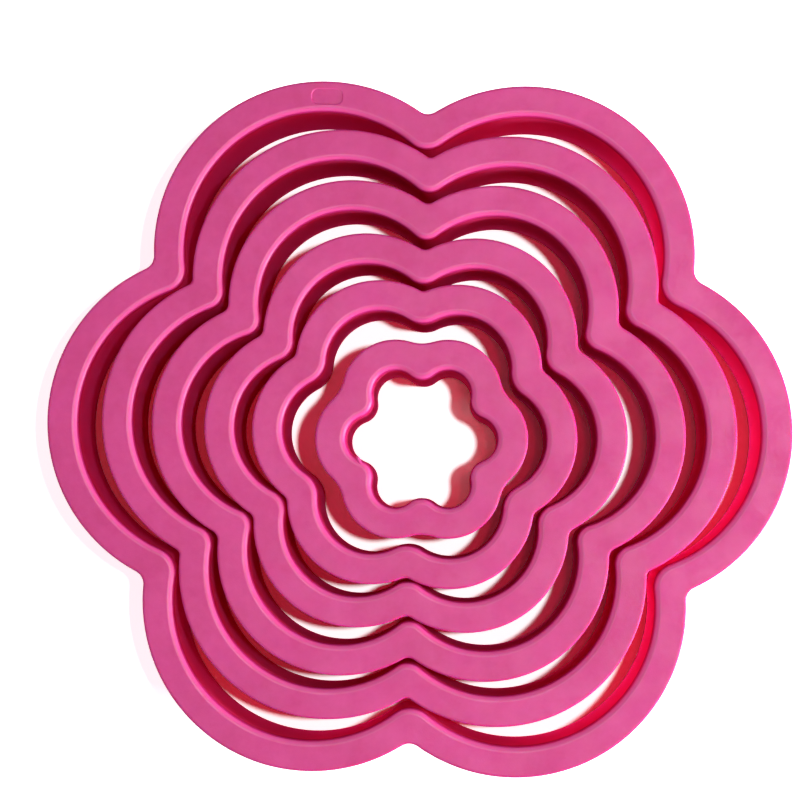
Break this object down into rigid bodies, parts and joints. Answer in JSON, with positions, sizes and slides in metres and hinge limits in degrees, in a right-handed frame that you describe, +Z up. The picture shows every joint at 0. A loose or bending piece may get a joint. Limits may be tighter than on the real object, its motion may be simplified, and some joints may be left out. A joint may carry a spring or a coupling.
{
  "type": "nested flower pastry cutter set",
  "caption": "Nested set of flower-shaped plastic pastry cutters, each a thin cutting wall under a flat flange, stood one inside the other.",
  "frame": {"origin": "on the largest cutter's axis, at the level of the cutting edges that the set stands on", "axes": "+Z up, from the cutting edges to the flanges; +X out through one petal of the largest cutter"},
  "size_m": [0.115, 0.1066, 0.02],
  "materials": {
    "pink_plastic": "satin, slightly translucent"
  },
  "bodies": {
    "largest_cutter": {"largest_cutter": "pink_plastic"},
    "second_cutter": {"second_cutter": "pink_plastic"},
    "third_cutter": {"third_cutter": "pink_plastic"},
    "fourth_cutter": {"fourth_cutter": "pink_plastic"},
    "fifth_cutter": {"fifth_cutter": "pink_plastic"},
    "smallest_cutter": {"smallest_cutter": "pink_plastic"}
  },
  "joints": [
    {"name": "second_lift", "type": "slide", "parent": "largest_cutter", "child": "second_cutter", "axis": [0, 0, 1], "range_m": [0, 0.03]},
    {"name": "third_lift", "type": "slide", "parent": "largest_cutter", "child": "third_cutter", "axis": [0, 0, 1], "range_m": [0, 0.03]},
    {"name": "fourth_lift", "type": "slide", "parent": "largest_cutter", "child": "fourth_cutter", "axis": [0, 0, 1], "range_m": [0, 0.03]},
    {"name": "fifth_lift", "type": "slide", "parent": "largest_cutter", "child": "fifth_cutter", "axis": [0, 0, 1], "range_m": [0, 0.03]},
    {"name": "smallest_lift", "type": "slide", "parent": "largest_cutter", "child": "smallest_cutter", "axis": [0, 0, 1], "range_m": [0, 0.03]}
  ]
}
